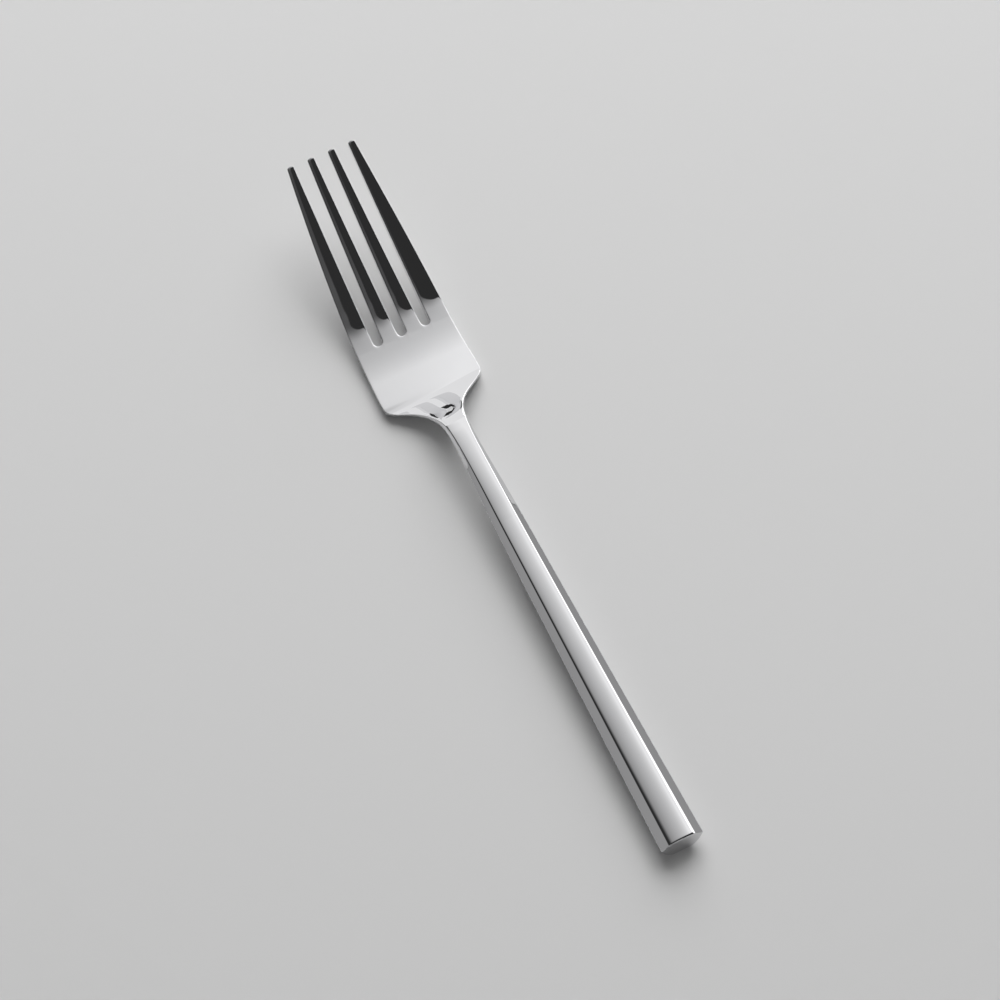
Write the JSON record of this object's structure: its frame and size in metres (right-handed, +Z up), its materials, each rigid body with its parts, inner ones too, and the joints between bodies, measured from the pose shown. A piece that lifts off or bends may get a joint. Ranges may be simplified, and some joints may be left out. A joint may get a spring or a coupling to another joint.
{
  "type": "salad fork",
  "caption": "Polished steel salad fork with tapered tines, a square-shouldered bowl, a narrow neck and a faceted hollow bar handle.",
  "frame": {"origin": "on the table, under the middle of the fork's length and width as it lies on its back", "axes": "+Y from the butt end of the handle to the tips of the tines, +Z up from the table, +X to the right"},
  "size_m": [0.0252, 0.1832, 0.0206],
  "materials": {
    "polished_steel": "polished",
    "casting_cement": "matte"
  },
  "bodies": {
    "root": {"fork_head": "polished_steel", "handle_upper_shell": "polished_steel", "handle_lower_shell": "polished_steel", "handle_end_cap": "polished_steel", "handle_filler": "casting_cement"}
  },
  "joints": []
}
